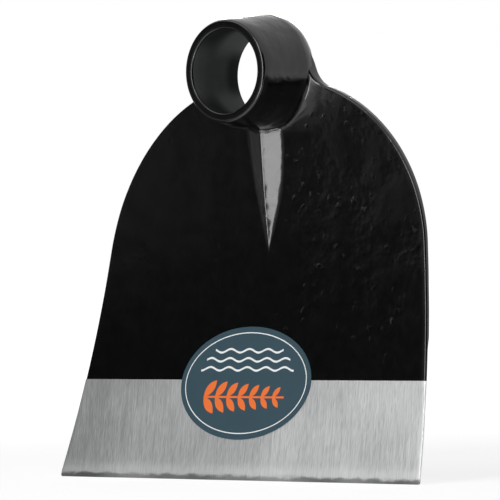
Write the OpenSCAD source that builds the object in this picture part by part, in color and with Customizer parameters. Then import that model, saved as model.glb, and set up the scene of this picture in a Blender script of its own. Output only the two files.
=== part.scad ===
// Head of a grub hoe: a tapered round eye, a stiffening rib, a curved blade with round
// shoulders, a bare ground edge and an oval label on the face.
// Millimetres. The eye's axis lies along Y, with the front mouth at the origin and the
// blade hanging down along -Z. The user stands on the -Y side.

/* [Eye] */
// Inside radius of the straight land at the eye's front mouth
eye_bore_r = 21; // [19:0.25:22]
// Length of that straight land
eye_land_len = 9; // [6:0.5:14]
// Inside radius at the back mouth, where the handle's thick end sits
eye_back_bore_r = 23.25; // [22.5:0.25:23.75]
// Outside radius of the front rim
eye_rim_r = 25.7; // [25:0.1:26.2]
// Outside radius where the eye runs into the blade
eye_root_r = 29.5; // [29:0.25:31]
// Length of the eye from front rim to back lip
eye_len = 38.5; // [38.5:0.5:42]
// Rounding of the front rim's outer edge
rim_round = 1.6; // [0.8:0.1:2]
// Rounding of the back lip
lip_round = 12.75; // [12:0.25:15]
// Length over which the back lip rounds off
lip_len = 9; // [7:0.25:9.5]
// Radius of the hollow root between eye and face
root_hollow_r = 15; // [12:0.5:20]
// How far that root climbs the eye in front of the face
root_rise = 2.5; // [1.5:0.25:3.5]

/* [Blade outline] */
// Height from the eye's axis down to the cutting edge
blade_drop = 203.5; // [190:0.5:215]
// Width of the cutting edge
edge_w = 232.5; // [215:0.5:250]
// Lean of each side away from the middle, in degrees
side_flare = 7; // [4:0.5:9]
// Distance below the eye's axis at which the sides turn into the shoulders
shoulder_drop = 87; // [80:0.5:95]
// Radius of the shoulders
shoulder_r = 95.5; // [88:0.5:100]
// Radius of the hollow between shoulder and eye
neck_r = 14; // [8:0.5:20]

/* [Blade section] */
// Distance from the eye's front rim to the blade's face
face_setback = 33; // [31:0.5:34]
// Radius of the face's curl towards the user
curl_r = 590; // [520:5:680]
// Distance below the eye's axis at which the face stands upright
curl_drop = 15; // [5:1:25]
// Thickness beside the eye
root_t = 4.6; // [4:0.1:5]
// Thickness where the forged plate is thinnest
plate_t = 2.8; // [2.5:0.1:3.2]
// Distance below the eye's axis of the thinnest forged place
thin_drop = 130; // [120:1:132]

/* [Ground edge] */
// Distance below the eye's axis of the paint line
paint_drop = 154; // [148:0.5:160]
// Distance below the eye's axis at which the back is ground away
relief_drop = 133; // [132:0.5:138]
// Angle at which the grinding runs into the back, in degrees
relief_angle = 9; // [6:0.5:14]
// Thickness left at the top of the ground back
relief_t = 1.8; // [1.5:0.1:2.2]
// Thickness left at the cutting edge, before the bevel
edge_t = 1.1; // [0.9:0.1:1.4]
// Height of the bevel along the cutting edge
bevel_h = 2.8; // [1.5:0.1:4]
// Depth of that bevel at the edge
bevel_depth = 0.6; // [0.3:0.1:0.7]

/* [Rib] */
// Distance from the eye's front rim to the rib's crest
rib_setback = 28.3; // [27.5:0.1:29.5]
// Slope of each side of the rib, in degrees
rib_slope = 22.5; // [18:0.5:28]
// Greatest width of the rib
rib_w = 20.5; // [16:0.5:24]
// Rounding of the crest
rib_crest_r = 1; // [0.75:0.25:3]

/* [Label] */
// Width of the oval label
label_w = 84; // [60:1:100]
// Height of the oval label
label_h = 56; // [40:1:64]
// Thickness of the label's film
label_t = 0.25; // [0.2:0.05:0.4]
// Distance below the eye's axis of the label's middle
label_drop = 155.5; // [150:0.5:165]
// Distance of the label's middle to the right of the blade's middle
label_shift = -2.7; // [-6:0.1:6]

/* [Hidden] */
$fn = 96;
turned_fn = 144;
arc_fn = 720;
shoulder_steps = 24;
neck_steps = 8;
rib_steps = 16;
crest_steps = 4;
rim_steps = 6;
lip_steps = 8;
root_steps = 6;
// How far a cutting shape runs past what it cuts, the neck into the eye and the root into the face
cut_extra = 5;
neck_bite = 0.5;
root_sink = 0.25;
// Above the neck the plate's edge turns in behind the back lip
run_out_r = 20;
run_out_from = 10;
run_out_to = 60;
run_out_steps = 5;
half_w = edge_w / 2;
block_w = edge_w + 2 * cut_extra;
block_depth = 4 * eye_len;

// Shoulder: an arc that leaves the side at turn_x and is centred at shoulder_x, shoulder_z
turn_x = half_w - (blade_drop - shoulder_drop) * tan(side_flare);
shoulder_x = turn_x - shoulder_r * cos(side_flare);
shoulder_z = -shoulder_drop - shoulder_r * sin(side_flare);

// Neck: a hollow arc that touches the shoulder arc and runs a little way into the eye
shoulder_dist = norm([shoulder_x, shoulder_z]);
neck_reach = eye_root_r + neck_r - neck_bite;
neck_to_shoulder = shoulder_r + neck_r;
neck_square = neck_reach ^ 2 + shoulder_dist ^ 2 - neck_to_shoulder ^ 2;
neck_turn = atan2(shoulder_z, shoulder_x) + acos(neck_square / (2 * neck_reach * shoulder_dist));
neck_x = neck_reach * cos(neck_turn);
neck_z = neck_reach * sin(neck_turn);
neck_meet = atan2(neck_z - shoulder_z, neck_x - shoulder_x);
run_out_centre = (eye_root_r - neck_bite - run_out_r) * [cos(neck_turn), sin(neck_turn)];

// Face and back are arcs in the side view. The back's arc is flatter, so that the plate
// thins from the eye down to thin_drop.
curl_y = face_setback - curl_r;
thin_angle = asin((thin_drop - curl_drop) / curl_r);
back_r = 1 / (1 / curl_r - 2 * (root_t - plate_t) / (thin_drop - curl_drop) ^ 2);
back_shift = curl_r + plate_t - back_r;
back_y = curl_y + back_shift * cos(thin_angle);
back_z = -curl_drop - back_shift * sin(thin_angle);

// Ground back: its arc is lifted, so that it thins evenly down to the cutting edge
relief_sin = (relief_drop - curl_drop) / curl_r;
edge_sin = (blade_drop - curl_drop) / curl_r;
relief_lift = (relief_t - edge_t) / (edge_sin - relief_sin);
relief_r = curl_r + relief_t + relief_lift * relief_sin;

// Outside of the eye: a straight taper that touches the rim's rounding and the back lip's
rim_centre = [eye_rim_r - rim_round, rim_round];
lip_centre = [eye_root_r - lip_round, eye_len - lip_len];
lip_dist = norm(lip_centre - rim_centre);
lip_way = atan2(lip_centre[1] - rim_centre[1], lip_centre[0] - rim_centre[0]);
taper = lip_way - acos((rim_round - lip_round) / lip_dist);
lip_end = asin(lip_len / lip_round);

// Root: a hollow arc that leaves the eye's outside at root_turn and dips a little way into the face
root_turn = acos(1 - (root_rise + root_sink) / root_hollow_r);
root_centre = [eye_root_r + root_hollow_r * sin(root_turn), face_setback + root_sink - root_hollow_r];

function arc_points(centre, radius, from, to, steps) = [
    for (i = [0:steps])
        let (angle = from + (to - from) * i / steps)
            centre + radius * [cos(angle), sin(angle)]
];

// Direction of the face's arc, seen from its centre, at a level above the eye's axis
function face_angle(level) = asin((level + curl_drop) / curl_r);

// Runs a side view, drawn with Y to the right and Z up, across the whole blade
module across() {
    rotate([90, 0, 90])
        linear_extrude(height = block_w, center = true)
            children();
}

// Runs a front view, drawn with X to the right and Z up, through the whole head
module through() {
    rotate([90, 0, 0])
        linear_extrude(height = block_depth, center = true)
            children();
}

// Turns a half section about the eye's axis, radius to the right and distance from the rim up
module about_eye() {
    rotate([-90, 0, 0])
        rotate_extrude($fn = turned_fn)
            children();
}

// Front view of the blade
module blade_outline() {
    right = concat(
        [[half_w + cut_extra * tan(side_flare), -blade_drop - cut_extra]],
        arc_points([shoulder_x, shoulder_z], shoulder_r, side_flare, neck_meet, shoulder_steps),
        arc_points([neck_x, neck_z], neck_r, neck_meet - 180, neck_turn - 180, neck_steps),
        arc_points(run_out_centre, run_out_r, neck_turn + run_out_from, neck_turn + run_out_to, run_out_steps)
    );
    left = [for (i = [len(right) - 1:-1:0]) [-right[i][0], right[i][1]]];
    polygon(concat(right, left));
}

// Side view of the round that the face is part of, made larger by offset
module face_arc(offset) {
    translate([curl_y, -curl_drop])
        circle(r = curl_r + offset, $fn = arc_fn);
}

// Side view of the waste that grinding takes off the back
module relief_waste() {
    angle = face_angle(-relief_drop);
    difference() {
        translate([curl_y, -curl_drop] + (curl_r + plate_t) * [cos(angle), sin(angle)])
            rotate(angle - relief_angle)
                translate([0, -blade_drop])
                    square([block_depth, blade_drop]);
        translate([curl_y, relief_lift - curl_drop])
            circle(r = relief_r, $fn = arc_fn);
    }
}

// Side view of the waste in front of the sharpened bevel
module bevel_waste() {
    angle = face_angle(bevel_h - blade_drop);
    translate([curl_y, -curl_drop] + curl_r * [cos(angle), sin(angle)])
        rotate(angle + atan(bevel_depth / bevel_h))
            translate([-block_depth, -blade_drop])
                square([block_depth, blade_drop + bevel_h]);
}

// Side view of the plate, from level top down to level bottom
module plate_section(top, bottom) {
    difference() {
        intersection() {
            translate([back_y, back_z])
                circle(r = back_r, $fn = arc_fn);
            translate([-block_depth, bottom])
                square([2 * block_depth, top - bottom]);
        }
        face_arc(0);
        relief_waste();
    }
}

// Half section of the eye without its bore
module eye_section() {
    polygon(concat(
        [[0, 0]],
        arc_points(rim_centre, rim_round, -90, taper, rim_steps),
        arc_points(lip_centre, lip_round, taper, lip_end, lip_steps),
        [[0, eye_len]]
    ));
}

// Half section of the hollow root round the eye
module root_section() {
    inside = eye_bore_r;
    behind = face_setback + root_t / 2;
    polygon(concat(
        [[inside, behind], [inside, face_setback - root_rise]],
        arc_points(root_centre, root_hollow_r, 90 + root_turn, 90, root_steps),
        [[root_centre[0], behind]]
    ));
}

// Half section of the bore: a straight land, then a taper that opens to the back
module bore_section() {
    polygon([
        [0, -cut_extra],
        [eye_bore_r, -cut_extra],
        [eye_bore_r, eye_land_len],
        [eye_back_bore_r, eye_len],
        [eye_back_bore_r, eye_len + cut_extra],
        [0, eye_len + cut_extra]
    ]);
}

module eye() {
    color("#1c1d1f")
        about_eye()
            difference() {
                eye_section();
                bore_section();
            }
}

// Plan view of the rib: sloping sides and a round crest
module rib_plan() {
    crest_centre = [0, rib_setback + rib_crest_r];
    crest_side = crest_centre + rib_crest_r * [sin(rib_slope), -cos(rib_slope)];
    foot_y = crest_side[1] + (rib_w / 2 - crest_side[0]) * tan(rib_slope);
    polygon(concat(
        arc_points(crest_centre, rib_crest_r, -90 - rib_slope, rib_slope - 90, crest_steps),
        [
            [rib_w / 2, foot_y],
            [rib_w / 2, eye_len],
            [-rib_w / 2, eye_len],
            [-rib_w / 2, foot_y]
        ]
    ));
}

// Side view of the room in front of the face that the rib fills, below the eye's axis
module rib_side() {
    top = -eye_bore_r;
    bottom = -thin_drop;
    polygon(concat(
        arc_points([curl_y, -curl_drop], curl_r, face_angle(top), face_angle(bottom), rib_steps),
        [[0, bottom], [0, top]]
    ));
}

// Upright ridge under the eye that the curling face cuts off to a point
module rib() {
    color("#242528")
        difference() {
            intersection() {
                translate([0, 0, -blade_drop])
                    linear_extrude(height = blade_drop)
                        rib_plan();
                across()
                    rib_side();
            }
            about_eye()
                eye_section();
            about_eye()
                root_section();
        }
}

module blade() {
    color("#17181a")
        difference() {
            intersection() {
                union() {
                    across()
                        plate_section(eye_root_r, -paint_drop);
                    about_eye()
                        root_section();
                }
                through()
                    blade_outline();
            }
            about_eye()
                eye_section();
        }
}

module ground_edge() {
    color("#a9abad")
        intersection() {
            across()
                difference() {
                    plate_section(-paint_drop, -blade_drop);
                    bevel_waste();
                }
            through()
                blade_outline();
        }
}

// Film that follows the face, laid half over the paint line by hand
module label() {
    color("#3f505a")
        intersection() {
            through()
                translate([label_shift, -label_drop])
                    scale([label_w / label_h, 1])
                        circle(d = label_h);
            across()
                difference() {
                    intersection() {
                        face_arc(0);
                        translate([0, -blade_drop])
                            square([eye_len, blade_drop]);
                    }
                    face_arc(-label_t);
                }
        }
}

eye();
rib();
blade();
ground_edge();
label();
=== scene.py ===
import math

import bmesh
import bpy
import numpy as np
from mathutils import Matrix, Vector, noise


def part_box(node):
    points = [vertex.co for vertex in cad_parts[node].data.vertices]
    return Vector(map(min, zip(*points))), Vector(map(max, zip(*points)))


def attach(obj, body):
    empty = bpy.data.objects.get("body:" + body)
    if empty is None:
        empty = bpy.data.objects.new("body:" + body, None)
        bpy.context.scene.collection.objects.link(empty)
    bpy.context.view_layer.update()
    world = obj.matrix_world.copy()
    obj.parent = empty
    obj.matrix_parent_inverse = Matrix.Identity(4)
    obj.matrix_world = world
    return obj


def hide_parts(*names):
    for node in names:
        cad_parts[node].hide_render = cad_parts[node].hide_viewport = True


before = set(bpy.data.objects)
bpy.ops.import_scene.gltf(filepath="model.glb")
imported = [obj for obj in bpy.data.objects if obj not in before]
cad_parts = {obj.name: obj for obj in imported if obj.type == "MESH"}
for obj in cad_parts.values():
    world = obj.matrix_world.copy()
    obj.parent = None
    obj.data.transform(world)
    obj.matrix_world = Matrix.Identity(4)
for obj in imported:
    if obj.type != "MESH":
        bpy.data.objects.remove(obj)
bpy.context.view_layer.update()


# Blade: a plate of medium-carbon steel, drop-forged in one heat with the eye and the rib, curled
# towards the user and drawn out thinner from the eye to the edge. It is dipped in black lacquer
# down to a straight paint line.

mm = 0.001
eye_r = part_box("eye")[1].x
paint_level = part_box("blade")[0].z
edge_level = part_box("ground_edge")[0].z
half_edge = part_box("ground_edge")[1].x

# The curl: a hollow cylinder face that lies deepest at the root level.
curl_r = 590 * mm
root_level = -15 * mm
face_setback = 33 * mm

# The outline: straight flared sides, round shoulders and a small hollow neck on each side of the eye,
# above which the plate runs out behind the eye's back lip.
side_flare = math.radians(7)
shoulder_level = -87 * mm
shoulder_r = 95.5 * mm
neck_r = 14 * mm
run_out_r = 24 * mm
neck_bite = 0.45 * mm
run_out_turn = math.radians(22)

# The thickness: hammered thinner down to thin_level, then ground back from relief_level.
root_t = 4.6 * mm
plate_t = 2.8 * mm
thin_level = -130 * mm
relief_level = -133 * mm
relief_angle = math.radians(9)
relief_t = 1.8 * mm
edge_t = 1.1 * mm

# The rounding of the plate's rim, full and soft beside the eye and tighter down the sides, and the shares
# of the room beside the eye and of the thickness that it may take where the plate is narrow.
neck_round = 1.6 * mm
side_round = 0.95 * mm
back_round = 0.9 * mm
neck_round_level = -10 * mm
front_room = 0.3
back_room = 0.45
back_share = 0.4

# The tips beside the eye, which thin out upwards behind its back lip.
tip_start = 1.2 * mm
tip_soft = 3 * mm
tip_len = 12.5 * mm
least_tip = 0.1

# The root: a hollow skirt round the eye, narrower below it, with a steep collar up the eye's wall. Each
# pair says where a change starts and ends, as the sine of the angle below the eye's axis.
skirt_rise = 2.7 * mm
skirt_reach = 12 * mm
skirt_reach_below = 3 * mm
skirt_hollow = 2.4
skirt_narrows = (0.45, 0.9)
collar_rise = 1.2 * mm
collar_reach = 1.4 * mm
collar_sink = 0.35 * mm
collar_grows = (0.05, 0.4)
eye_flat = 0.6 * mm
flat_grows = (0.1, 0.6)
flat_fades = (0.7, 1.0)
bite = 1.8 * mm
back_bite = 3.5 * mm
back_gap_share = 0.2

# The mesh, whose rows and columns crowd towards the eye.
fine_rows = 4000
extra_rows = 1.5
crowded_levels = (-1.4 * eye_r, -1.1 * eye_r)
crowding = 1.8
weld_gap = 0.002 * mm

turn_x = half_edge - (shoulder_level - edge_level) * math.tan(side_flare)
shoulder_x = turn_x - shoulder_r * math.cos(side_flare)
shoulder_z = shoulder_level - shoulder_r * math.sin(side_flare)
tip_r = eye_r - neck_bite
neck_reach = tip_r + neck_r
shoulder_reach = math.hypot(shoulder_x, shoulder_z)
neck_spread = math.acos((neck_reach ** 2 + shoulder_reach ** 2 - (shoulder_r + neck_r) ** 2)
                        / (2 * neck_reach * shoulder_reach))
neck_turn = math.atan2(shoulder_z, shoulder_x) + neck_spread
neck_x = neck_reach * math.cos(neck_turn)
neck_z = neck_reach * math.sin(neck_turn)
meet_level = neck_z + (shoulder_z - neck_z) * neck_r / (shoulder_r + neck_r)
tip_level = tip_r * math.sin(neck_turn)
run_out_x = (tip_r - run_out_r) * math.cos(neck_turn)
run_out_z = (tip_r - run_out_r) * math.sin(neck_turn)
top_level = run_out_z + run_out_r * math.sin(neck_turn + run_out_turn)


def face_y(z):
    """How far the curled face lies behind the eye's front mouth at height z."""
    return face_setback - curl_r + np.sqrt(curl_r ** 2 - (z - root_level) ** 2)


def plate_thickness(z):
    """Thickness of the plate at height z, with the ground relief on its back."""
    drawn = np.maximum(z - thin_level, 0) / (root_level - thin_level)
    forged = plate_t + (root_t - plate_t) * drawn ** 2
    fall = np.maximum(relief_level - z, 0)
    ramp = plate_t - fall * math.tan(relief_angle)
    relief = relief_t - (relief_t - edge_t) * fall / (relief_level - edge_level)
    return np.where(z < relief_level, np.maximum(ramp, relief), forged)


def half_width(z):
    """Half of the outline's width at height z."""
    side = half_edge - (z - edge_level) * math.tan(side_flare)
    shoulder = shoulder_x + np.sqrt(np.maximum(shoulder_r ** 2 - (z - shoulder_z) ** 2, 0))
    neck = neck_x - np.sqrt(np.maximum(neck_r ** 2 - (z - neck_z) ** 2, 0))
    run_out = run_out_x + np.sqrt(np.maximum(run_out_r ** 2 - (z - run_out_z) ** 2, 0))
    below_neck = np.where(z > shoulder_level, shoulder, side)
    return np.where(z > tip_level, run_out, np.where(z > meet_level, neck, below_neck))


def eye_gap(z, bite):
    """Half of the gap that the eye takes out of the plate at height z, less what the plate bites into it."""
    return np.sqrt(np.maximum((eye_r - bite) ** 2 - z ** 2, 0))


def smooth_step(value, start, end):
    """0 before start, 1 after end and a soft rise between them."""
    share = np.clip((value - start) / (end - start), 0, 1)
    return share * share * (3 - 2 * share)


def low_share(x, z):
    """1 on the lower right of the eye, where its wall is a little flatter, and 0 elsewhere."""
    down = -z / np.maximum(np.hypot(x, z), bite)
    return smooth_step(down, *flat_grows) * (1 - smooth_step(down, *flat_fades)) * (x > 0)


def root_lift(x, z):
    """How far the root's skirt and collar stand in front of the face."""
    away = np.maximum(np.hypot(x, z), bite)
    out = away - eye_r + collar_sink + eye_flat * low_share(x, z)
    wide = skirt_reach + (skirt_reach_below - skirt_reach) * smooth_step(-z / away, *skirt_narrows)
    skirt = skirt_rise * wide / skirt_reach * np.clip(1 - out / wide, 0, 1) ** skirt_hollow
    collar = collar_rise * smooth_step(-z / away, *collar_grows)
    return skirt + collar * np.clip(1 - out / collar_reach, 0, 1) ** 2


def even_rows(top, bottom, count):
    """Heights from top to bottom that are evenly spaced along the outline, and closer beside the eye."""
    fine = np.linspace(top, bottom, fine_rows)
    closer = 1 + extra_rows * smooth_step(fine[1:], *crowded_levels)
    steps = np.hypot(np.diff(fine), np.diff(half_width(fine))) * closer
    run = np.concatenate(([0], np.cumsum(steps)))
    return np.interp(np.linspace(0, run[-1], count), run, fine)


def plate_sections(rows, widths, front_round, columns, round_steps=6):
    """Level sections of the flat plate's right half, from the middle over the front and rim to the back."""
    gap = np.minimum(eye_gap(rows, bite), widths)
    back_gap = np.maximum(eye_gap(rows, back_bite), back_gap_share * gap)
    stretch = np.sqrt(1 + np.gradient(widths, rows) ** 2)
    room = (widths - gap) / stretch
    up_tip = (rows - tip_start + np.hypot(rows - tip_start, tip_soft)) / 2
    thickness = plate_thickness(rows) * np.maximum(1 - up_tip / tip_len, least_tip)
    front_r = np.minimum(front_round, front_room * room)[:, None]
    back_r = np.minimum(np.minimum(back_round, back_room * room), back_share * thickness)[:, None]
    gap, back_gap, widths, stretch, thickness = (
        value[:, None] for value in (gap, back_gap, widths, stretch, thickness))
    across = np.linspace(0, 1, columns)[None, :] ** crowding
    turn = np.linspace(0, math.pi / 2, round_steps + 1)[None, :]
    front_x = gap + (widths - front_r * stretch - gap) * across
    front_rim_x = widths - front_r * stretch * (1 - np.sin(turn))
    back_rim_x = widths - back_r * stretch * (1 - np.cos(turn))
    back_x = back_gap + (widths - back_r * stretch - back_gap) * across[:, ::-1]
    x = np.hstack((front_x, front_rim_x[:, 1:], back_rim_x, back_x[:, 1:]))
    depth = np.hstack((np.zeros_like(front_x), front_r * (1 - np.cos(turn))[:, 1:],
                       thickness - back_r * (1 - np.sin(turn)), thickness + 0 * back_x[:, 1:]))
    z = rows[:, None] + 0 * x
    front = np.arange(x.shape[1]) < columns + round_steps
    return np.stack((x, depth - root_lift(x, z) * front, z), axis=2)


def sheet_faces(rows, columns, closed=False):
    """Quads between neighbouring rows of points; a closed row joins its last point to its first."""
    pairs = [(c, (c + 1) % columns) for c in range(columns if closed else columns - 1)]
    return [(r * columns + a, r * columns + b, (r + 1) * columns + b, (r + 1) * columns + a)
            for r in range(rows - 1) for a, b in pairs]


def made_piece(name, points, faces, crease=math.radians(35)):
    """A closed mesh piece from points and faces, smooth except at its creases."""
    mesh = bpy.data.meshes.new(name)
    mesh.from_pydata(np.reshape(points, (-1, 3)).tolist(), [], faces)
    shell = bmesh.new()
    shell.from_mesh(mesh)
    bmesh.ops.remove_doubles(shell, verts=shell.verts, dist=weld_gap)
    bmesh.ops.dissolve_degenerate(shell, edges=shell.edges, dist=weld_gap / 2)
    bmesh.ops.recalc_face_normals(shell, faces=shell.faces)
    shell.to_mesh(mesh)
    shell.free()
    mesh.shade_smooth()
    mesh.set_sharp_from_angle(angle=crease)
    piece = bpy.data.objects.new(name, mesh)
    bpy.context.scene.collection.objects.link(piece)
    return piece


def plate_piece(name, sections):
    """Both halves of a flat plate from its right half's sections, closed at the eye and at both ends."""
    rows, columns = sections.shape[:2]
    count = rows * columns
    wall = [(r * columns, (r + 1) * columns, (r + 2) * columns - 1, (r + 1) * columns - 1)
            for r in range(rows - 1) if eye_gap(sections[r, 0, 2], bite) > 0]
    ends = [(r * columns + c, r * columns + c + 1, (r + 1) * columns - 2 - c, (r + 1) * columns - 1 - c)
            for r in (0, rows - 1) for c in range(columns // 2)]
    half = sheet_faces(rows, columns) + wall + ends
    other_half = [tuple(count + corner for corner in reversed(face)) for face in half]
    points = np.concatenate((sections, sections * (-1, 1, 1)))
    return made_piece(name, points, half + other_half)


def add_node(tree, kind, settings=None, inputs=None):
    """Adds one node; an input is a plain value, a socket, or a node whose first output in use feeds it."""
    node = tree.nodes.new(kind)
    for name, value in (settings or {}).items():
        setattr(node, name, value)
    for key, value in (inputs or {}).items():
        if isinstance(value, bpy.types.Node):
            value = next(socket for socket in value.outputs if socket.enabled)
        if isinstance(value, bpy.types.NodeSocket):
            tree.links.new(value, node.inputs[key])
        else:
            node.inputs[key].default_value = value
    return node


def linear(hex_colour):
    """A linear RGBA colour from an sRGB hex value."""
    parts = [int(hex_colour[i:i + 2], 16) / 255 for i in (1, 3, 5)]
    return [p / 12.92 if p <= 0.04045 else ((p + 0.055) / 1.055) ** 2.4 for p in parts] + [1]


def new_material(name):
    """An empty material with its node tree and its output node."""
    material = bpy.data.materials.new(name)
    material.use_nodes = True
    material.node_tree.nodes.clear()
    return material, material.node_tree, material.node_tree.nodes.new("ShaderNodeOutputMaterial")


# Black lacquer over forge scale: a thin glossy coat that follows every dimple of the hammered steel,
# so the eye sees a deep black with sharp lights on each edge and a faint mottle on the flats.
soft = {"interpolation_type": "SMOOTHSTEP"}
patch_size = 28 * mm
dimple_size = 5 * mm
dimple_depth = 0.2 * mm
pit_spacing = 5.5 * mm
pit_share = 0.34
pit_depth = 0.32 * mm
wander_size = 4 * mm
wander_reach = 5 * mm
lacquer, tree, output = new_material("black_lacquer_over_forge_scale")
place = add_node(tree, "ShaderNodeTexCoord").outputs["Object"]
patches = add_node(tree, "ShaderNodeTexNoise",
                   inputs={"Vector": place, "Scale": 1 / patch_size, "Detail": 2})
scaly = add_node(tree, "ShaderNodeMapRange", soft, {
    "Value": patches, "From Min": 0.38, "From Max": 0.56, "To Min": 0.1, "To Max": 1})

# The scale lies thickest in a ring round the root. It thins out to the left, on the eye and low down.
ring_span = (eye_r + 16 * mm, eye_r + 26 * mm)
left_span = (8 * mm, 26 * mm)
eye_span = (eye_r + 1 * mm, eye_r + 6 * mm)
low_span = (-136 * mm, -116 * mm)
parts = add_node(tree, "ShaderNodeSeparateXYZ", inputs={"Vector": place}).outputs
flat_place = add_node(tree, "ShaderNodeCombineXYZ", inputs={"X": parts["X"], "Z": parts["Z"]})
from_eye = add_node(tree, "ShaderNodeVectorMath", {"operation": "LENGTH"}, {0: flat_place})
root_ring = add_node(tree, "ShaderNodeMapRange", soft, {
    "Value": from_eye, "From Min": ring_span[0], "From Max": ring_span[1],
    "To Min": 0.9, "To Max": 0})
scaly = add_node(tree, "ShaderNodeMath", {"operation": "MAXIMUM"}, {0: scaly, 1: root_ring})
for value, (thin, thick), least in ((parts["X"], left_span, 0.12), (from_eye, eye_span, 0),
                                    (parts["Z"], low_span, 0.3)):
    kept = add_node(tree, "ShaderNodeMapRange", soft, {
        "Value": value, "From Min": thin, "From Max": thick, "To Min": least})
    scaly = add_node(tree, "ShaderNodeMath", {"operation": "MULTIPLY"}, {0: scaly, 1: kept})

dimples = add_node(tree, "ShaderNodeTexNoise",
                   inputs={"Vector": place, "Scale": 1 / dimple_size, "Detail": 1})
gloss = add_node(tree, "ShaderNodeMapRange", inputs={
    "Value": dimples, "From Min": 0.3, "From Max": 0.7, "To Min": 0.16, "To Max": 0.19})
tone = add_node(tree, "ShaderNodeMix", {"data_type": "RGBA"},
                {"Factor": patches, "A": linear("#020202"), "B": linear("#060707")})
wander = add_node(tree, "ShaderNodeTexNoise",
                  inputs={"Vector": place, "Scale": 1 / wander_size, "Detail": 1}).outputs["Color"]
pit_place = add_node(tree, "ShaderNodeVectorMath", {"operation": "MULTIPLY_ADD"},
                     {0: wander, 1: (wander_reach,) * 3, 2: place})
pits = add_node(tree, "ShaderNodeTexVoronoi", inputs={"Vector": pit_place, "Scale": 1 / pit_spacing}).outputs
pit = add_node(tree, "ShaderNodeMapRange", soft, {
    "Value": pits["Distance"], "From Max": pit_share, "To Min": 1, "To Max": 0})
chance = add_node(tree, "ShaderNodeSeparateColor", inputs={"Color": pits["Color"]}).outputs["Red"]
struck = add_node(tree, "ShaderNodeMapRange", inputs={"Value": chance, "From Min": 0.3, "From Max": 0.9})
pitted = add_node(tree, "ShaderNodeMath", {"operation": "MULTIPLY"}, {0: struck, 1: scaly})
hollows = add_node(tree, "ShaderNodeMath", {"operation": "MULTIPLY"}, {0: pit, 1: pitted})
pebbles = add_node(tree, "ShaderNodeMath", {"operation": "MULTIPLY"}, {0: dimples, 1: scaly})
pebbled = add_node(tree, "ShaderNodeBump",
                   inputs={"Height": pebbles, "Distance": dimple_depth, "Strength": 1})
relief = add_node(tree, "ShaderNodeBump", {"invert": True}, {
    "Height": hollows, "Distance": pit_depth, "Strength": 1, "Normal": pebbled})
coat = add_node(tree, "ShaderNodeBsdfPrincipled",
                inputs={"Base Color": tone, "Roughness": gloss, "IOR": 1.5, "Normal": relief})
tree.links.new(coat.outputs["BSDF"], output.inputs["Surface"])

# One node tree gives every flat piece of the plate its forged dents and bends it to the curl. The dents
# fade out from the dented level down to the ground level.
dent_size = 14 * mm
dented_level = -120 * mm


def new_tree(name, inputs, output):
    """A Geometry Nodes tree with these inputs, their sockets' identifiers, and the outputs that feed it."""
    tree = bpy.data.node_groups.new(name, "GeometryNodeTree")
    identifiers = {}
    for title, kind in inputs.items():
        socket = tree.interface.new_socket(title, in_out="INPUT", socket_type="NodeSocket" + kind)
        identifiers[title] = socket.identifier
    tree.interface.new_socket(output, in_out="OUTPUT", socket_type="NodeSocketGeometry")
    return tree, identifiers, add_node(tree, "NodeGroupInput").outputs


curl_tree, curl_inputs, given = new_tree("curl_of_the_blade", {
    "Plate": "Geometry", "Curl radius": "Float", "Root level": "Float", "Face setback": "Float",
    "Dent depth": "Float", "Dent size": "Float", "Dented level": "Float", "Ground level": "Float",
    "Finish": "Material"}, output="Plate")
spot = add_node(curl_tree, "GeometryNodeInputPosition")
parts = add_node(curl_tree, "ShaderNodeSeparateXYZ", inputs={"Vector": spot}).outputs
drop = add_node(curl_tree, "ShaderNodeMath", {"operation": "SUBTRACT"},
                {0: parts["Z"], 1: given["Root level"]})
drop_square = add_node(curl_tree, "ShaderNodeMath", {"operation": "MULTIPLY"}, {0: drop, 1: drop})
radius_square = add_node(curl_tree, "ShaderNodeMath", {"operation": "MULTIPLY"},
                         {0: given["Curl radius"], 1: given["Curl radius"]})
reach_square = add_node(curl_tree, "ShaderNodeMath", {"operation": "SUBTRACT"},
                        {0: radius_square, 1: drop_square})
reach = add_node(curl_tree, "ShaderNodeMath", {"operation": "SQRT"}, {0: reach_square})
curl_centre = add_node(curl_tree, "ShaderNodeMath", {"operation": "SUBTRACT"},
                       {0: given["Face setback"], 1: given["Curl radius"]})
bent = add_node(curl_tree, "ShaderNodeMath", {"operation": "ADD"}, {0: reach, 1: curl_centre})
pitch = add_node(curl_tree, "ShaderNodeMath", {"operation": "DIVIDE"}, {0: 1, 1: given["Dent size"]})
dents = add_node(curl_tree, "ShaderNodeTexNoise", {"normalize": False},
                 {"Vector": spot, "Scale": pitch, "Detail": 0})
fade = add_node(curl_tree, "ShaderNodeMapRange", soft, {
    "Value": parts["Z"], "From Min": given["Ground level"],
    "From Max": given["Dented level"]})
deep = add_node(curl_tree, "ShaderNodeMath", {"operation": "MULTIPLY"}, {0: given["Dent depth"], 1: fade})
dented = add_node(curl_tree, "ShaderNodeMath", {"operation": "MULTIPLY_ADD"}, {0: dents, 1: deep, 2: bent})
shift = add_node(curl_tree, "ShaderNodeCombineXYZ", inputs={"Y": dented})
moved = add_node(curl_tree, "GeometryNodeSetPosition", inputs={"Geometry": given["Plate"], "Offset": shift})
solid = add_node(curl_tree, "GeometryNodeRealizeInstances", inputs={"Geometry": moved})
painted = add_node(curl_tree, "GeometryNodeSetMaterial",
                   inputs={"Geometry": solid, "Material": given["Finish"]})
add_node(curl_tree, "NodeGroupOutput", inputs={"Plate": painted})


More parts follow.
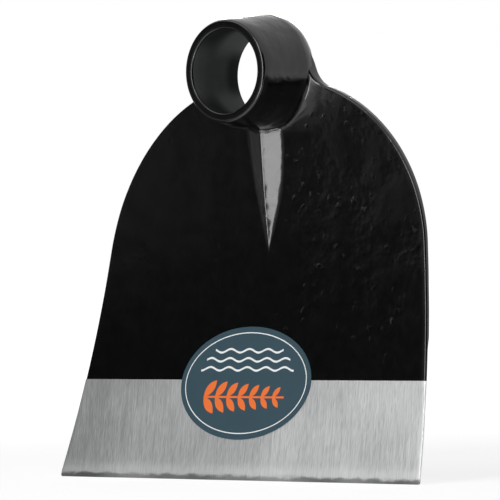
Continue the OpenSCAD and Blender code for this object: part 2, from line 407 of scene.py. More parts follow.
def grow(piece, node_tree, inputs, sizes):
    """Runs a piece through a node tree with these sizes, and leaves it as a plain mesh."""
    modifier = piece.modifiers.new("shape", "NODES")
    modifier.node_group = node_tree
    for name, value in sizes.items():
        modifier[inputs[name]] = value
    rough_mesh = piece.data
    piece.data = bpy.data.meshes.new_from_object(
        piece.evaluated_get(bpy.context.evaluated_depsgraph_get()))
    piece.modifiers.remove(modifier)
    bpy.data.meshes.remove(rough_mesh)


def curl(piece, finish, dent_depth=0.0):
    """Bends a flat piece to the blade's curl and gives it its finish."""
    grow(piece, curl_tree, curl_inputs, {
        "Curl radius": curl_r, "Root level": root_level, "Face setback": face_setback,
        "Dent depth": dent_depth, "Dent size": dent_size, "Dented level": dented_level,
        "Ground level": paint_level, "Finish": finish})


def fit(piece, node):
    """Puts a finished piece in the place of its CAD node."""
    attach(piece, "root")
    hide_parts(node)


blade_rows = even_rows(top_level, paint_level, count=230)
up_neck = smooth_step(blade_rows, shoulder_level, neck_round_level)
blade_round = side_round + (neck_round - side_round) * up_neck
blade_sections = plate_sections(blade_rows, half_width(blade_rows), blade_round, columns=72)
blade = plate_piece("forged_blade", blade_sections)
curl(blade, lacquer, dent_depth=0.1 * mm)
fit(blade, "blade")


# Rib: a short wedge drawn up in the die under the eye, which stiffens the root of the blade. It is
# part of the same forging, with a crisp crest, and runs out to a point where the face curls past it.

rib_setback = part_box("rib")[0].y
rib_slope = math.radians(22.5)
tip_slope = math.radians(20)
left_slope = math.radians(22)
left_tip_slope = math.radians(29)
crest_r = 0.6 * mm
crest_bow = 0.6 * mm
crest_hollow = 0.45 * mm
tip_hollow = 1.9 * mm
crest_hollow_w = 1.6 * mm
rib_wave_depth = 0.07 * mm
tip_wave_depth = 0.1 * mm
rib_wave_size = 3.2 * mm
rib_foot = 0.5 * mm
rib_start = -1.2 * mm
rib_lean = 4.8 * mm
rib_top = -27.5 * mm
rib_sink = 0.5 * mm
rib_root_rise = 0.6 * mm
rib_root_reach = 1.6 * mm
rib_overrun = 1.5 * mm
least_reach = 0.15 * mm
rib_tip = root_level - math.sqrt(curl_r ** 2 - (curl_r - face_setback + rib_setback) ** 2)


def down_rib(top_value, tip_value, z):
    """A value that runs evenly from the rib's top to its tip."""
    return top_value + (tip_value - top_value) * (z - rib_top) / (rib_tip - rib_top)


def rib_y(x, z):
    """The rib's two flanks, the right one steeper beside the rounded crest, before they meet the face."""
    side = x - down_rib(rib_start, rib_start + rib_lean, z)
    away = np.sqrt(side ** 2 + (crest_r * math.tan(rib_slope)) ** 2)
    hollow = down_rib(crest_hollow, tip_hollow, z) * (1 - np.exp(-away / crest_hollow_w))
    right_fall = (away + hollow) * np.tan(down_rib(rib_slope, tip_slope, z))
    left_fall = away * np.tan(down_rib(left_slope, left_tip_slope, z))
    fall = np.where(side > 0, right_fall, left_fall)
    bow = crest_bow * np.sin(math.pi * np.clip(down_rib(0, 1, z), 0, 1))
    near_eye = np.clip(1 - (np.hypot(x, z) - eye_r) / rib_root_reach, 0, 1)
    return rib_setback + fall - bow - rib_root_rise * near_eye ** 2


def root_y(x, z):
    """The face with the rib on it, a little wavy from the die, joined by a small hollow foot."""
    spots = np.stack((x, 0 * x, z), axis=2).reshape(-1, 3) / rib_wave_size
    wave = np.array([noise.noise(Vector(spot)) for spot in spots]).reshape(x.shape)
    face = face_y(z)
    flank = rib_y(x, z) + down_rib(rib_wave_depth, tip_wave_depth, z) * wave
    near = np.maximum(rib_foot - np.abs(face - flank), 0) / rib_foot
    return np.minimum(face, flank) - near ** 2 * rib_foot / 4


rib_rows = np.linspace(rib_top, rib_tip - rib_overrun, num=120)
rib_reach = np.maximum(face_y(rib_rows) - rib_setback + 2 * rib_foot, least_reach) / math.tan(tip_slope)
side_share = np.linspace(-1, 1, num=101)
crest_x = down_rib(rib_start, rib_start + rib_lean, rib_rows)
rib_x = crest_x[:, None] + rib_reach[:, None] * side_share[None, :]
rib_z = rib_rows[:, None] + 0 * rib_x
rib_front = np.stack((rib_x, root_y(rib_x, rib_z), rib_z), axis=2)
rib_back = np.stack((rib_x, face_y(rib_z) + rib_sink, rib_z), axis=2)[:, ::-1]
rib_loops = np.concatenate((rib_front, rib_back), axis=1)
rows, columns = rib_loops.shape[:2]
rib_ends = [tuple(range(columns)), tuple(range((rows - 1) * columns, rows * columns))]
rib = made_piece("root_rib", rib_loops, sheet_faces(rows, columns, closed=True) + rib_ends)
rib.data.materials.append(lacquer)
fit(rib, "rib")


# Eye: the tapered socket that a wooden handle jams in, punched and drawn out of the same steel. Its
# wall swells from the front rim to the root, where a hollow fillet carries it into the face and the rib.

bore_r = 21 * mm
land_len = 9 * mm
back_bore_r = 23.3 * mm
bore_droop = 1.3 * mm
rim_r = 25 * mm
rim_round = 1.5 * mm
rim_soft = 0.9 * mm
rim_soft_len = 1.4 * mm
mouth_round = 0.9 * mm
eye_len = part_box("eye")[1].y
wall_hollow = 0.2 * mm
lip_len = 9.1 * mm
lip_drop = 3.9 * mm
turns = 288
bore_steps = 16

# Chance forms of the wall: ripples, the flatter lower right, and a belly below. Each pair says where along
# the eye a form grows or fades, and belly_below does so by the sine of the angle below the axis.
ripple_depth = 0.18 * mm
ripple_size = Vector((11, 9, 11)) * mm
ripple_smooth = 0.9
ripple_step = 2.0
ripple_layers = 3
ripple_grows = (2 * mm, 6 * mm)
flat_along = (8 * mm, 26 * mm)
eye_belly = 0.8 * mm
belly_below = (0.6, 1)
belly_grows = (2 * mm, 12 * mm)
belly_fades = (16 * mm, 30 * mm)


def arc(r, y, radius, start, end, steps):
    """Points of a profile arc, from start to end degrees."""
    angle = np.radians(np.linspace(start, end, steps))
    return np.stack((r + radius * np.cos(angle), y + radius * np.sin(angle)), axis=1)


def bore_taper(y):
    """Radius of the bore: a straight land, then a cone to the back mouth."""
    return bore_r + (back_bore_r - bore_r) * max(0, y - land_len) / (eye_len - land_len)


def wall_r(y):
    """Outside radius of the eye: a soft rim, a wall that widens to the root, and a long rounded back lip."""
    share = np.clip(y / (eye_len - lip_len), 0, 1)
    wall = rim_r + (eye_r - rim_r - rim_soft) * share - 4 * wall_hollow * share * (1 - share)
    lip = np.clip((y - eye_len + lip_len) / lip_len, 0, 1)
    return wall + rim_soft * (1 - np.exp(-y / rim_soft_len)) - lip_drop * (1 - np.sqrt(1 - lip ** 2))


bore = np.stack((np.linspace(back_bore_r, bore_r, bore_steps),
                 np.linspace(eye_len, land_len, bore_steps)), axis=1)
mouth = arc(bore_r + mouth_round, mouth_round, mouth_round, 180, 270, steps=6)
wall_y = rim_round + (eye_len - rim_round) * np.sin(np.linspace(0, math.pi / 2, num=90))
rim = arc(wall_r(rim_round) - rim_round, rim_round, rim_round, -90, 0, steps=9)
wall = np.stack((wall_r(wall_y), wall_y), axis=1)
profile = np.concatenate((bore, mouth, rim, wall[1:]))
turn = np.linspace(0, 2 * math.pi, turns + 1)
x = np.cos(turn)[:, None] * profile[None, :, 0]
z = np.sin(turn)[:, None] * profile[None, :, 0]
y = profile[None, :, 1] + 0 * x
spots = np.stack((x, y, z), axis=2).reshape(-1, 3) / np.array(ripple_size)
ripple = np.array([noise.fractal(Vector(spot), ripple_smooth, ripple_step, ripple_layers)
                   for spot in spots]).reshape(x.shape)
outside = np.arange(len(profile)) >= len(bore) + len(mouth) + len(rim)
swell = ripple * ripple_depth * smooth_step(y, *ripple_grows)
swell -= eye_flat * low_share(x, z) * smooth_step(y, *flat_along)
below = smooth_step(-z / np.hypot(x, z), *belly_below)
swell += eye_belly * below * smooth_step(y, *belly_grows) * (1 - smooth_step(y, *belly_fades))
swollen = 1 + swell * outside / np.hypot(x, z)
inside = np.arange(len(profile)) < len(bore)
eye_points = np.stack((x * swollen, y, z * swollen - bore_droop * inside * y / eye_len), axis=2)
eye = made_piece("handle_eye", eye_points, sheet_faces(turns + 1, len(profile), closed=True))

# Dry overspray in the bore: the lacquer only dusts the inside of the eye, so it is a flat dark grey. It
# is darker above and below just behind the mouth. Behind that, a paler zone above and below is painted light
# falling in through the back mouth, and a darker zone at the sides near the back is painted shade. Each zone
# has a colour, and how far above or below the axis and how deep in the bore it starts and is full.
dust_size = 7 * mm
dust_depth = 0.1 * mm
bore_margin = 0.1 * mm
# Painted light: paler above and below, deeper in the bore.
painted_light_zone = ("#606464", (6 * mm, 15 * mm), (12 * mm, 22 * mm))
# Darker above and below, just behind the front mouth.
dark_mouth_zone = ("#2a2c2c", (8 * mm, 18 * mm), (20 * mm, 7 * mm))
# Painted shade: darker at the sides, near the back mouth.
painted_shade_zone = ("#2c2f2f", (13 * mm, 5 * mm), (25 * mm, 33 * mm))
overspray, tree, output = new_material("dry_black_overspray_with_painted_shading")
place = add_node(tree, "ShaderNodeTexCoord").outputs["Object"]
dust = add_node(tree, "ShaderNodeTexNoise", inputs={"Vector": place, "Scale": 1 / dust_size, "Detail": 3})
dust_and_painted_shading = add_node(tree, "ShaderNodeMix", {"data_type": "RGBA"},
                  {"Factor": dust, "A": linear("#434646"), "B": linear("#505353")})
dull = add_node(tree, "ShaderNodeMapRange", inputs={"Value": dust, "To Min": 0.55, "To Max": 0.75})
parts = add_node(tree, "ShaderNodeSeparateXYZ", inputs={"Vector": place}).outputs
height = add_node(tree, "ShaderNodeMath", {"operation": "ABSOLUTE"}, {0: parts["Z"]})
for colour, heights, depths in (painted_light_zone, dark_mouth_zone, painted_shade_zone):
    masks = [add_node(tree, "ShaderNodeMapRange", soft, {
        "Value": value, "From Min": start, "From Max": end})
        for value, (start, end) in ((height, heights), (parts["Y"], depths))]
    zone = add_node(tree, "ShaderNodeMath", {"operation": "MULTIPLY"}, {0: masks[0], 1: masks[1]})
    dust_and_painted_shading = add_node(tree, "ShaderNodeMix", {"data_type": "RGBA"},
                      {"Factor": zone, "A": dust_and_painted_shading, "B": linear(colour)})
gritty = add_node(tree, "ShaderNodeBump", inputs={"Height": dust, "Distance": dust_depth, "Strength": 1})
dry_coat = add_node(tree, "ShaderNodeBsdfPrincipled", inputs={
    "Base Color": dust_and_painted_shading, "Roughness": dull, "IOR": 1.5, "Specular IOR Level": 0, "Normal": gritty})
tree.links.new(dry_coat.outputs["BSDF"], output.inputs["Surface"])
eye.data.materials.append(lacquer)
eye.data.materials.append(overspray)
for face in eye.data.polygons:
    spot = face.center
    drooped = spot.z + bore_droop * spot.y / eye_len
    in_bore = math.hypot(spot.x, drooped) < bore_taper(spot.y) + bore_margin
    face.material_index = int(in_bore and spot.y > mouth_round)
fit(eye, "eye")


# Ground edge: the bare lower end of the same plate. After lacquering it is ground bright with a belt
# held upright, thinned from behind, and whetted with a small bevel along the cutting edge.

bevel_depth = 0.6 * mm
bevel_h = 2.8 * mm
bevel_top = edge_level + bevel_h * 1.6
bevel_wave = 0.5
bevel_wave_size = 22 * mm
bevel_wave_start = 3.7
corner_r = 1.2 * mm
edge_round = 0.25 * mm

edge_rows = np.concatenate((np.linspace(paint_level, bevel_top, num=40),
                            np.linspace(bevel_top, edge_level, num=20)[1:]))
corner_fall = np.clip((edge_level + corner_r - edge_rows) / corner_r, 0, 1)
edge_widths = half_width(edge_rows) - corner_r * (1 - np.sqrt(1 - corner_fall ** 2))
edge_sections = plate_sections(edge_rows, edge_widths, edge_round + 0 * edge_rows, columns=90)
ground_edge = plate_piece("bare_edge", edge_sections)
for vertex in ground_edge.data.vertices:
    x, depth, z = vertex.co
    reach = bevel_h * (1 + bevel_wave * noise.noise(Vector((x / bevel_wave_size, 0, bevel_wave_start))))
    share = max(0, 1 - (z - edge_level) / reach)
    vertex.co.y = depth + bevel_depth * share * (1 - depth / edge_t) if depth < edge_t else depth

# Belt-ground steel: the grit leaves fine, nearly upright lines, so lights smear sideways and the band looks
# silvery with a streaky grain. The lines are about half a millimetre apart, coarser than real, to show.
line_pitch = 0.55 * mm
line_length = 18 * mm
scratch_length = 5 * mm
scratch_depth = 0.018 * mm
smudge_size = 40 * mm
steel, tree, output = new_material("belt_ground_steel_with_painted_shade")
place = add_node(tree, "ShaderNodeTexCoord").outputs["Object"]
streaks = []
for lean, length in ((-7, line_length), (-2, scratch_length)):
    turned = add_node(tree, "ShaderNodeMapping", {"vector_type": "TEXTURE"}, {
        "Vector": place, "Rotation": (0, math.radians(lean), 0),
        "Scale": (line_pitch, length, length)})
    streaks.append(add_node(tree, "ShaderNodeTexNoise",
                            inputs={"Vector": turned, "Scale": 1, "Detail": 1}))
scratches = add_node(tree, "ShaderNodeMath", {"operation": "ADD"}, {0: streaks[0], 1: streaks[1]})
smudge = add_node(tree, "ShaderNodeTexNoise",
                  inputs={"Vector": place, "Scale": 1 / smudge_size, "Detail": 1})

# Broad belt passes under the lines, and a painted shade that darkens the band towards its left end and
# lightens it to the right, as the light falls across it.
pass_w = 16 * mm
pass_length = 30 * mm
pass_weight = 0.5
belt_place = add_node(tree, "ShaderNodeMapping", inputs={
    "Vector": place, "Scale": (1 / pass_w, 1 / pass_length, 1 / pass_length)})
passes = add_node(tree, "ShaderNodeTexNoise", inputs={"Vector": belt_place, "Scale": 1, "Detail": 1})
grain_and_painted_shade = add_node(tree, "ShaderNodeMath", {"operation": "MULTIPLY_ADD"},
                 {0: passes, 1: pass_weight, 2: scratches})
parts = add_node(tree, "ShaderNodeSeparateXYZ", inputs={"Vector": place}).outputs
# Painted shade: darker towards the band's left end, lighter towards its right.
painted_side_shade = add_node(tree, "ShaderNodeMapRange", inputs={
    "Value": parts["X"], "From Min": -half_edge, "From Max": half_edge,
    "To Min": -0.25, "To Max": 0.2})
grain_and_painted_shade = add_node(tree, "ShaderNodeMath", {"operation": "ADD"}, {0: grain_and_painted_shade, 1: painted_side_shade})
shade = add_node(tree, "ShaderNodeMapRange", inputs={"Value": grain_and_painted_shade, "From Min": 0.8, "From Max": 1.7})
bright = add_node(tree, "ShaderNodeMix", {"data_type": "RGBA"},
                  {"Factor": shade, "A": linear("#bec0c1"), "B": linear("#f0f1f1")})

# A burnished band along the cutting edge, and a darker grey band below it, nearest the edge. Both have a
# wavy upper border.
wave_w = 8 * mm
wave_h = 4 * mm
wave_reach = 5 * mm
burnish_top = edge_level + 12 * mm
burnish_full = edge_level + 6.5 * mm
dark_band_top = edge_level + 5.6 * mm
dark_band_full = edge_level + 3.6 * mm
wave_place = add_node(tree, "ShaderNodeMapping", inputs={
    "Vector": place, "Scale": (1 / wave_w, 0, 1 / wave_h)})
wave = add_node(tree, "ShaderNodeTexNoise", inputs={"Vector": wave_place, "Scale": 1, "Detail": 4})
wavy_level = add_node(tree, "ShaderNodeMath", {"operation": "MULTIPLY_ADD"},
                      {0: wave, 1: wave_reach, 2: parts["Z"]})
blotch = add_node(tree, "ShaderNodeMapRange", inputs={
    "Value": smudge, "From Min": 0.35, "From Max": 0.65, "To Min": 0.8, "To Max": 0.4})
for colour, most, full, top in (("#ffffff", 0.45, burnish_full, burnish_top),
                                ("#5c5e5f", blotch, dark_band_full, dark_band_top)):
    band = add_node(tree, "ShaderNodeMapRange", soft, {
        "Value": wavy_level, "From Min": full, "From Max": top, "To Min": most, "To Max": 0})
    bright = add_node(tree, "ShaderNodeMix", {"data_type": "RGBA"},
                      {"Factor": band, "A": bright, "B": linear(colour)})
worn = add_node(tree, "ShaderNodeMapRange", inputs={
    "Value": smudge, "From Min": 0.3, "From Max": 0.7, "To Min": 0.40, "To Max": 0.44})
scored = add_node(tree, "ShaderNodeBump",
                  inputs={"Height": scratches, "Distance": scratch_depth, "Strength": 1})
metal = add_node(tree, "ShaderNodeBsdfPrincipled",
                 inputs={"Base Color": bright, "Metallic": 1, "Roughness": worn, "Normal": scored})
tree.links.new(metal.outputs["BSDF"], output.inputs["Surface"])

curl(ground_edge, steel)
fit(ground_edge, "ground_edge")


# Label: an oval of printed self-adhesive film, stuck on by hand half over the paint line. It carries a
# plain printed sprig in orange, with three furrow lines and a thin oval line in white.

film_low, film_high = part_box("label")
film_w = film_high.x - film_low.x
film_h = film_high.z - film_low.z
film_x = (film_low.x + film_high.x) / 2
film_level = (film_low.z + film_high.z) / 2
film_t = 0.25 * mm
film_rings = 40
film_turns = 160
film_middle = 0.02

angle = np.linspace(0, 2 * math.pi, film_turns, endpoint=False)
share = np.concatenate((np.linspace(film_middle, 1, film_rings), np.linspace(1, film_middle, film_rings)))
depth = np.repeat((-film_t, 0), film_rings)
film_points = np.stack((film_x + share[:, None] * film_w / 2 * np.cos(angle)[None, :],
                        depth[:, None] + 0 * angle[None, :],
                        film_level + share[:, None] * film_h / 2 * np.sin(angle)[None, :]), axis=2)
film_count = 2 * film_rings * film_turns
film_caps = [tuple(range(film_turns)), tuple(range(film_count - film_turns, film_count))]
film_faces = sheet_faces(2 * film_rings, film_turns, closed=True) + film_caps
label = made_piece("oval_label", film_points, film_faces)

# Printed vinyl film: a smooth satin skin with one flat slate ink, a little mottled by the adhesive.
cloud_size = 9 * mm
film, tree, output = new_material("printed_vinyl_film")
place = add_node(tree, "ShaderNodeTexCoord").outputs["Object"]
cloud = add_node(tree, "ShaderNodeTexNoise", inputs={"Vector": place, "Scale": 1 / cloud_size, "Detail": 2})
slate = add_node(tree, "ShaderNodeMix", {"data_type": "RGBA"},
                 {"Factor": cloud, "A": linear("#243f4b"), "B": linear("#2a4551")})
skin = add_node(tree, "ShaderNodeBsdfPrincipled",
                inputs={"Base Color": slate, "Roughness": 0.45, "IOR": 1.5})
tree.links.new(skin.outputs["BSDF"], output.inputs["Surface"])
curl(label, film)
fit(label, "label")

# Screen-printed ink: a dense, slightly raised film of colour with a satin skin. One orange, one white.
ink_t = 0.04 * mm
squeegee_size = 3 * mm
inks = {}
for colour_name, dense, thin in (("orange", "#e8671a", "#e07028"), ("white", "#e8eaea", "#dcdfe0")):
    inks[colour_name], tree, output = new_material("screen_printed_" + colour_name + "_ink")
    place = add_node(tree, "ShaderNodeTexCoord").outputs["Object"]
    squeegee = add_node(tree, "ShaderNodeTexNoise",
                        inputs={"Vector": place, "Scale": 1 / squeegee_size, "Detail": 2})
    laid = add_node(tree, "ShaderNodeMix", {"data_type": "RGBA"},
                    {"Factor": squeegee, "A": linear(dense), "B": linear(thin)})
    ink = add_node(tree, "ShaderNodeBsdfPrincipled",
                   inputs={"Base Color": laid, "Roughness": 0.5, "IOR": 1.5})
    tree.links.new(ink.outputs["BSDF"], output.inputs["Surface"])

# The sprig: one leaf shape set in pairs along a stem, smaller towards the tip.
leaf_lean = 48
leaf_base = 0.51
last_leaf = 0.55
sprig_tree, sprig_inputs, given = new_tree("printed_sprig", {
    "Leaf pairs": "Int", "Stem length": "Float", "Leaf length": "Float", "Leaf width": "Float",
    "Stem width": "Float", "Ink height": "Float", "Ink": "Material"}, output="Sprig")
disc = add_node(sprig_tree, "GeometryNodeMeshCylinder",
                inputs={"Vertices": 24, "Radius": 0.5, "Depth": given["Ink height"]})
leaf_size = add_node(sprig_tree, "ShaderNodeCombineXYZ", inputs={
    "X": given["Leaf length"], "Y": given["Leaf width"], "Z": 1})
oval = add_node(sprig_tree, "GeometryNodeTransform", inputs={"Geometry": disc, "Scale": leaf_size})
spot = add_node(sprig_tree, "GeometryNodeInputPosition")
spread_y = add_node(sprig_tree, "ShaderNodeSeparateXYZ", inputs={"Vector": spot}).outputs["Y"]
breadth = add_node(sprig_tree, "ShaderNodeMath", {"operation": "ABSOLUTE"}, {0: spread_y})
fullness = add_node(sprig_tree, "ShaderNodeMath", {"operation": "DIVIDE"},
                    {0: breadth, 1: given["Leaf width"]})
pinch = add_node(sprig_tree, "ShaderNodeMath", {"operation": "MULTIPLY_ADD"}, {0: fullness, 1: 2, 2: -1})
drawn_in = add_node(sprig_tree, "ShaderNodeMath", {"operation": "MULTIPLY"}, {0: spread_y, 1: pinch})
pull = add_node(sprig_tree, "ShaderNodeCombineXYZ", inputs={"Y": drawn_in})
pointed = add_node(sprig_tree, "GeometryNodeSetPosition", inputs={"Geometry": oval, "Offset": pull})
half_leaf = add_node(sprig_tree, "ShaderNodeMath", {"operation": "MULTIPLY"},
                     {0: given["Leaf length"], 1: leaf_base})
leaf_start = add_node(sprig_tree, "ShaderNodeCombineXYZ", inputs={"X": half_leaf})
leaf = add_node(sprig_tree, "GeometryNodeTransform", inputs={
    "Geometry": pointed, "Translation": leaf_start})
gaps = add_node(sprig_tree, "ShaderNodeMath", {"operation": "DIVIDE"},
                {0: given["Stem length"], 1: given["Leaf pairs"]})
step = add_node(sprig_tree, "ShaderNodeCombineXYZ", inputs={"X": gaps})
buds = add_node(sprig_tree, "GeometryNodeMeshLine", inputs={"Count": given["Leaf pairs"], "Offset": step})
number = add_node(sprig_tree, "GeometryNodeInputIndex")
young = add_node(sprig_tree, "ShaderNodeMapRange", inputs={
    "Value": number, "From Max": given["Leaf pairs"], "To Min": 1, "To Max": last_leaf})
grown = add_node(sprig_tree, "GeometryNodeJoinGeometry")
for lean in (-leaf_lean, leaf_lean):
    side_leaves = add_node(sprig_tree, "GeometryNodeInstanceOnPoints", inputs={
        "Points": buds, "Instance": leaf, "Rotation": (0, 0, math.radians(lean)), "Scale": young})
    sprig_tree.links.new(side_leaves.outputs["Instances"], grown.inputs["Geometry"])
stem_size = add_node(sprig_tree, "ShaderNodeCombineXYZ", inputs={
    "X": given["Stem length"], "Y": given["Stem width"], "Z": given["Ink height"]})
stem = add_node(sprig_tree, "GeometryNodeMeshCube", inputs={"Size": stem_size, "Vertices X": 24})
half_stem = add_node(sprig_tree, "ShaderNodeMath", {"operation": "MULTIPLY"},
                     {0: given["Stem length"], 1: 0.5})
stem_start = add_node(sprig_tree, "ShaderNodeCombineXYZ", inputs={"X": half_stem})
stem = add_node(sprig_tree, "GeometryNodeTransform", inputs={"Geometry": stem, "Translation": stem_start})
sprig_tree.links.new(stem.outputs["Geometry"], grown.inputs["Geometry"])
whole = add_node(sprig_tree, "GeometryNodeRealizeInstances", inputs={"Geometry": grown})
inked = add_node(sprig_tree, "GeometryNodeSetMaterial",
                 inputs={"Geometry": whole, "Material": given["Ink"]})
add_node(sprig_tree, "NodeGroupOutput", inputs={"Sprig": inked})

stem_length = 52 * mm
sprig_drop = 7 * mm
sprig = bpy.data.objects.new("label_sprig", bpy.data.meshes.new("label_sprig"))
bpy.context.scene.collection.objects.link(sprig)
grow(sprig, sprig_tree, sprig_inputs, {
    "Leaf pairs": 7, "Stem length": stem_length, "Leaf length": 11 * mm, "Leaf width": 4.6 * mm,
    "Stem width": 1.0 * mm, "Ink height": ink_t, "Ink": inks["orange"]})
sprig_place = Matrix.Translation((film_x - stem_length / 2, -film_t - ink_t / 4, film_level - sprig_drop))
sprig.data.transform(sprig_place @ Matrix.Rotation(math.pi / 2, 4, "X"))
curl(sprig, inks["orange"])
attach(sprig, "root")

# Three furrow lines over the sprig, from their lengths and heights, and a thin oval line inside the rim.
furrow_wave = 0.9 * mm
furrow_wave_length = 12 * mm
half_furrow = 0.5 * mm
half_rim_line = 0.25 * mm
rim_inset = 3 * mm
line_share = np.linspace(-1, 1, num=90)
ribbons = []
for length, height in ((44 * mm, 16 * mm), (54 * mm, 11.5 * mm), (60 * mm, 7 * mm)):
    along = line_share * length / 2
    furrow_z = film_level + height + furrow_wave * np.cos(along * 2 * math.pi / furrow_wave_length)
    ribbons.append((film_x + along, furrow_z, 0 * line_share, 0 * line_share + 1, half_furrow, False))
rim_share = np.linspace(0, 2 * math.pi, num=160, endpoint=False)
ribbons.append((film_x + (film_w / 2 - rim_inset) * np.cos(rim_share),
                film_level + (film_h / 2 - rim_inset) * np.sin(rim_share),
                np.cos(rim_share), np.sin(rim_share), half_rim_line, True))
ink_front = -film_t - ink_t
ink_back = -film_t + ink_t
corners = ((-1, ink_front), (1, ink_front), (1, ink_back), (-1, ink_back))
line_points = []
line_faces = []
count = 0
for mid_x, mid_z, out_x, out_z, half_line, ring in ribbons:
    loops = np.stack([np.stack((mid_x + side * half_line * out_x, depth + 0 * mid_x,
                                mid_z + side * half_line * out_z), axis=1)
                      for side, depth in corners], axis=1)
    if ring:
        loops = np.concatenate((loops, loops[:1]))
    faces = sheet_faces(len(loops), 4, closed=True)
    if not ring:
        faces += [(0, 1, 2, 3), tuple(4 * (len(loops) - 1) + corner for corner in range(4))]
    line_faces += [tuple(count + corner for corner in face) for face in faces]
    line_points.append(loops.reshape(-1, 3))
    count += 4 * len(loops)
lines = made_piece("label_lines", np.concatenate(line_points), line_faces)
curl(lines, inks["white"])
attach(lines, "root")


# Studio: a white floor and backdrop, a soft light in front and a weaker one above, and dark and bright
# cards that give the black lacquer something to mirror. None of it is part of the hoe.

camera_turn = math.radians(39.71)
camera_rise = math.radians(-0.13)
camera_roll = math.radians(-0.95)
camera_distance = 2225.95 * mm
camera_target = Vector((14.84, 0, -89.14)) * mm
picture_px = 500
focal_px = 4500
sensor_w = 36

back = Vector((math.sin(camera_turn) * math.cos(camera_rise),
               -math.cos(camera_turn) * math.cos(camera_rise),
               math.sin(camera_rise)))
level_right = Vector((math.cos(camera_turn), math.sin(camera_turn), 0))
level_up = back.cross(level_right)
right = level_right * math.cos(camera_roll) + level_up * math.sin(camera_roll)
up = level_up * math.cos(camera_roll) - level_right * math.sin(camera_roll)
lens = bpy.data.cameras.new("camera")
lens.sensor_width = sensor_w
lens.lens = focal_px * sensor_w / picture_px
lens.clip_end = 100
camera = bpy.data.objects.new("camera", lens)
camera_place = Matrix.Translation(camera_target + back * camera_distance)
camera.matrix_world = camera_place @ Matrix((right, up, back)).transposed().to_4x4()
bpy.context.scene.collection.objects.link(camera)
bpy.context.scene.camera = camera


def card(name, centre, aim, width, height, material):
    """A flat stage panel that faces aim."""
    mesh = bpy.data.meshes.new(name)
    corners = [(sx * width / 2, sy * height / 2, 0) for sx, sy in ((-1, -1), (1, -1), (1, 1), (-1, 1))]
    mesh.from_pydata(corners, [], [(0, 1, 2, 3)])
    mesh.materials.append(material)
    panel = bpy.data.objects.new(name, mesh)
    direction = Vector(aim) - Vector(centre)
    panel.matrix_world = Matrix.Translation(centre) @ direction.to_track_quat("Z", "Y").to_matrix().to_4x4()
    bpy.context.scene.collection.objects.link(panel)
    return panel


def only_in_reflections(panel):
    """Hides a card from everything but mirror-like surfaces."""
    panel.visible_camera = False
    panel.visible_diffuse = False
    panel.visible_shadow = False
    panel.visible_transmission = False


def sight_share(tree, least):
    """1 for what is looked at, straight or in a mirror, and the least value for light that spreads."""
    path = add_node(tree, "ShaderNodeLightPath").outputs
    seen = path["Is Camera Ray"]
    for kind in ("Is Glossy Ray", "Is Transmission Ray"):
        seen = add_node(tree, "ShaderNodeMath", {"operation": "MAXIMUM"}, {0: seen, 1: path[kind]})
    return add_node(tree, "ShaderNodeMapRange", inputs={"Value": seen, "To Min": least, "To Max": 1})


# White seamless floor: it shows the hoe's shadow and turns pure white away from it.
white, tree, output = new_material("white_seamless_floor")
place = add_node(tree, "ShaderNodeTexCoord").outputs["Object"]
far = add_node(tree, "ShaderNodeVectorMath", {"operation": "LENGTH"}, {0: place})
lift = add_node(tree, "ShaderNodeMapRange", soft, {
    "Value": far, "From Min": 0.25, "From Max": 1.2, "To Min": 0.78, "To Max": 1.0})
glow = add_node(tree, "ShaderNodeMath", {"operation": "MULTIPLY"}, {0: sight_share(tree, 0.6), 1: lift})
matt = add_node(tree, "ShaderNodeBsdfDiffuse", inputs={"Color": linear("#9c9c9c")})
shine = add_node(tree, "ShaderNodeEmission", inputs={"Strength": glow})
both = add_node(tree, "ShaderNodeAddShader", inputs={0: matt, 1: shine})
tree.links.new(both.outputs["Shader"], output.inputs["Surface"])
card("floor", (0, 0, edge_level), (0, 0, 1), 30, 30, white)


def card_grey(name, value, brightness=1):
    """A matt card of one even brightness, as a mirror sees it."""
    material, tree, output = new_material(name)
    tone = add_node(tree, "ShaderNodeEmission", inputs={"Color": linear(value), "Strength": brightness})
    tree.links.new(tone.outputs["Emission"], output.inputs["Surface"])
    return material


black_card = card_grey("black_velvet_card", "#282828")
dark_floor_card = card_grey("dark_floor_cloth", "#606060")
shade_card = card_grey("dark_grey_card", "#7c7c7c")
grey_card = card_grey("grey_card", "#a0a0a0")
dim_card = card_grey("dim_grey_card", "#8a8a8a")
reflector = card_grey("silver_reflector", "#ffffff", brightness=6.5)
mirror = card_grey("mirror_reflector", "#ffffff", brightness=11)
white_reflector = card_grey("white_reflector", "#ffffff", brightness=1.9)
paper = card_grey("white_paper", "#ffffff")
back_glow = card_grey("back_strip_light", "#ffffff", brightness=5)
ground = edge_level + 0.2 * mm


def standing_card(name, turn, distance, width, material, low=-0.25, high=2.75):
    """An upright card round the hoe, at so many degrees to the right of straight ahead."""
    way = math.radians(turn)
    centre = Vector((distance * math.sin(way), -distance * math.cos(way), (low + high) / 2))
    return card(name, centre, (0, 0, centre.z), width, high - low, material)


def floor_card(name, x, y, width, depth, material, lift=0):
    """A card that lies on the floor, with its middle at x and y."""
    return card(name, (x, y, ground + lift), (x, y, 1), width, depth, material)


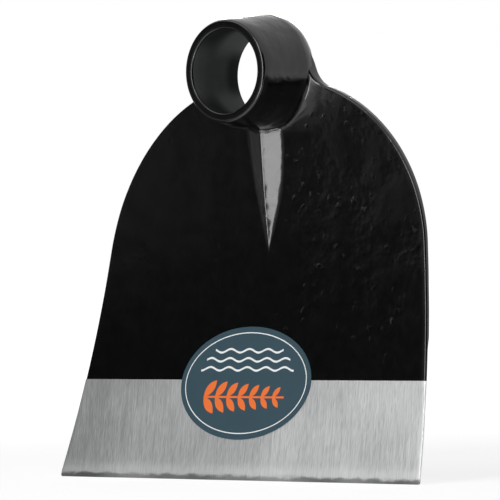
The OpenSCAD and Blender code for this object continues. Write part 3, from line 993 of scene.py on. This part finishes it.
cards = [standing_card("dark_front_card", -56, 4.0, 3.5, black_card),
         standing_card("grey_front_card", -24, 4.2, 1.35, grey_card),
         standing_card("low_left_card", -59, 1.5, 0.86, shade_card, high=0.2),
         standing_card("low_right_card", -29.25, 1.5, 0.382, grey_card, high=0.2),
         standing_card("dark_right_card", 50, 4.0, 5.6, black_card),
         standing_card("dark_side_card", 96, 4.0, 2.0, black_card),
         standing_card("dim_left_card", -100, 4.0, 3.5, dim_card),
         standing_card("back_strip", -142, 3.0, 0.65, back_glow, low=0.1, high=1.15),
         floor_card("floor_reflector", 0.3, -1.07, 0.2, 0.86, reflector),
         floor_card("mid_floor_reflector", 0.19, -0.53, 0.22, 0.22, mirror),
         floor_card("mid_floor_paper", -0.43, -0.965, 0.96, 1.17, paper),
         floor_card("small_floor_reflector", 0.12, -0.37, 0.16, 0.1, mirror),
         floor_card("side_floor_paper", 0.28, 0.03, 0.16, 0.24, paper, lift=0.1 * mm),
         floor_card("near_floor_reflector", -0.02, -0.26, 0.24, 0.22, white_reflector),
         floor_card("near_floor_cloth", -1.55, -0.2, 2.8, 0.36, dark_floor_card),
         floor_card("dark_floor_behind", 0, 0.29, 30, 0.62, dark_floor_card),
         floor_card("dark_floor_right", 7.7, -7.6, 14.7, 14.7, black_card),
         floor_card("dark_floor_left", -8.3, -7.6, 14.7, 14.7, black_card)]
for panel in cards:
    only_in_reflections(panel)


def soft_light(name, place, aim, width, height, brightness):
    """A soft box that looks as bright as brightness times white."""
    lamp = bpy.data.lights.new(name, "AREA")
    lamp.shape = "RECTANGLE"
    lamp.size = width
    lamp.size_y = height
    lamp.energy = brightness * math.pi * width * height
    holder = bpy.data.objects.new(name, lamp)
    holder.location = place
    holder.rotation_euler = (Vector(aim) - Vector(place)).to_track_quat("-Z", "Y").to_euler()
    bpy.context.scene.collection.objects.link(holder)


soft_light("front_box", (0.19, -1.6, 0.45), (0.19, 0, 0.45), 0.56, 1.3, 7.5)
soft_light("top_box", (-0.6, -0.9, 1.3), (0, 0, -0.1), 1.0, 1.0, 1.2)

world = bpy.data.worlds.new("white_backdrop")
bpy.context.scene.world = world
world.use_nodes = True
tree = world.node_tree
tree.nodes.clear()
sky = add_node(tree, "ShaderNodeBackground",
               inputs={"Color": linear("#ffffff"), "Strength": sight_share(tree, 0.35)})
add_node(tree, "ShaderNodeOutputWorld", inputs={"Surface": sky})
bpy.context.scene.view_settings.view_transform = "Standard"
